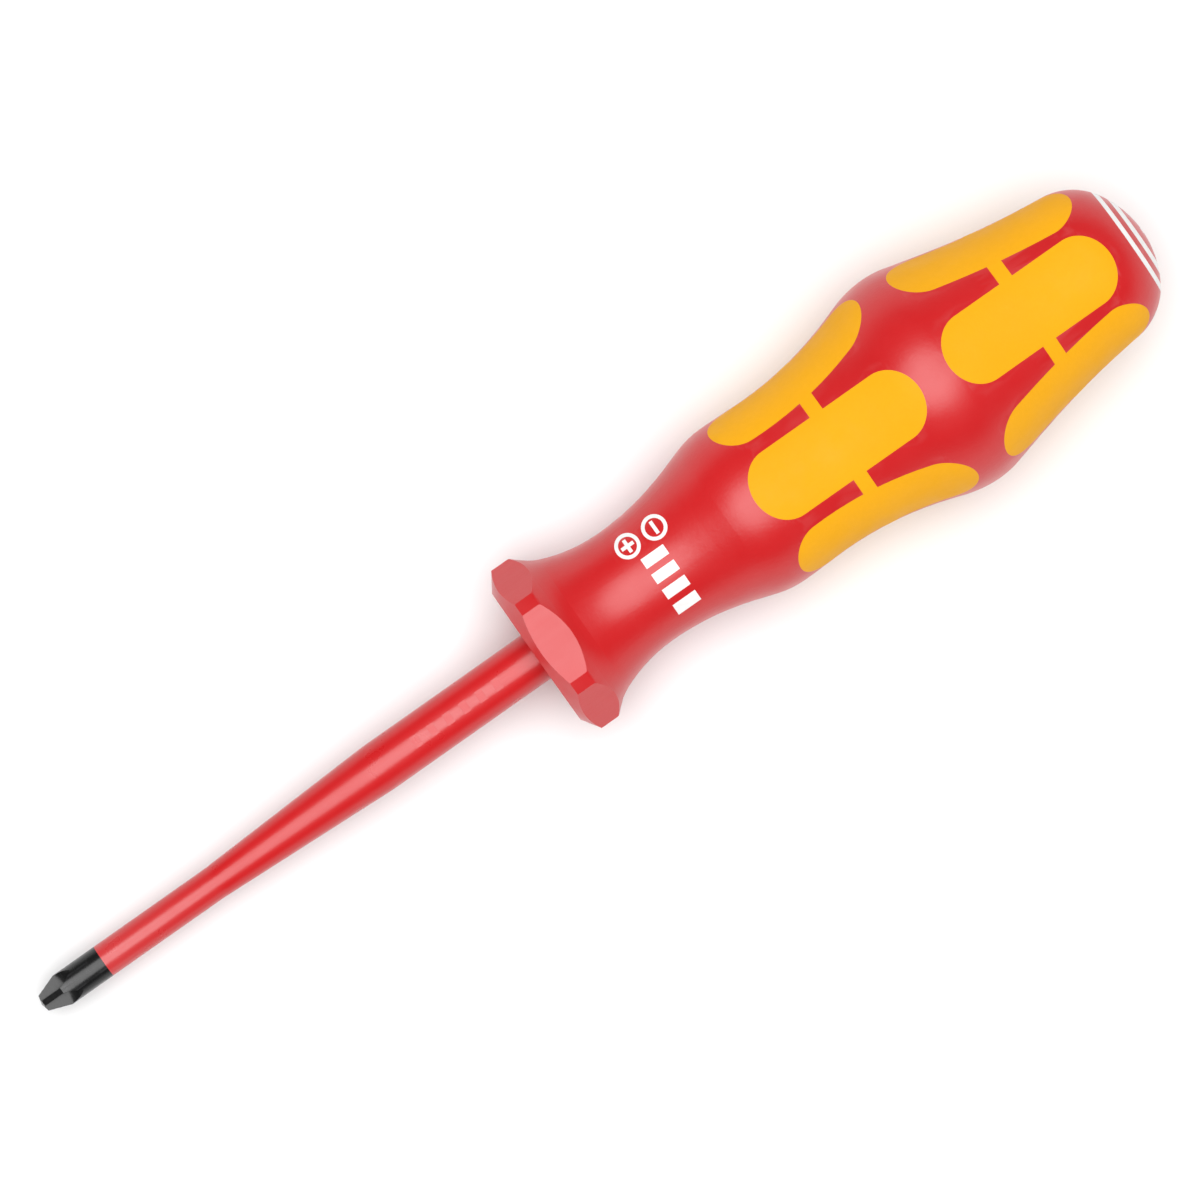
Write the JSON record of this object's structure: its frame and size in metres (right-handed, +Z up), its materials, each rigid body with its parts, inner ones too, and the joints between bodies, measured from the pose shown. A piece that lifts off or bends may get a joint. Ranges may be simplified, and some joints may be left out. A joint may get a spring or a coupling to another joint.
{
  "type": "insulated screwdriver",
  "caption": "Insulated cross-slot screwdriver: sleeved slim blade, waisted handle with soft grip pads, faceted anti-roll collar and a domed butt.",
  "frame": {"origin": "on the tool's axis at the collar's front face, where the blade leaves the handle", "axes": "+X along the axis from the tip to the butt, +Z up through one row of grip pads and one collar flat"},
  "size_m": [0.178, 0.032, 0.032],
  "materials": {
    "blackened_steel": "blackened, satin",
    "insulation_red": "smooth satin",
    "handle_red": "fine satin",
    "grip_yellow": "soft matte",
    "core_plastic": "as moulded",
    "print_white": "printed"
  },
  "bodies": {
    "root": {"blade": "blackened_steel", "blade_insulation": "insulation_red", "handle_core": "core_plastic", "handle_shell": "handle_red", "front_grip_band": "grip_yellow", "rear_grip_band": "grip_yellow", "outer_end_ring": "print_white", "inner_end_ring": "print_white", "butt_mark": "print_white", "neck_mark": "print_white"}
  },
  "joints": []
}
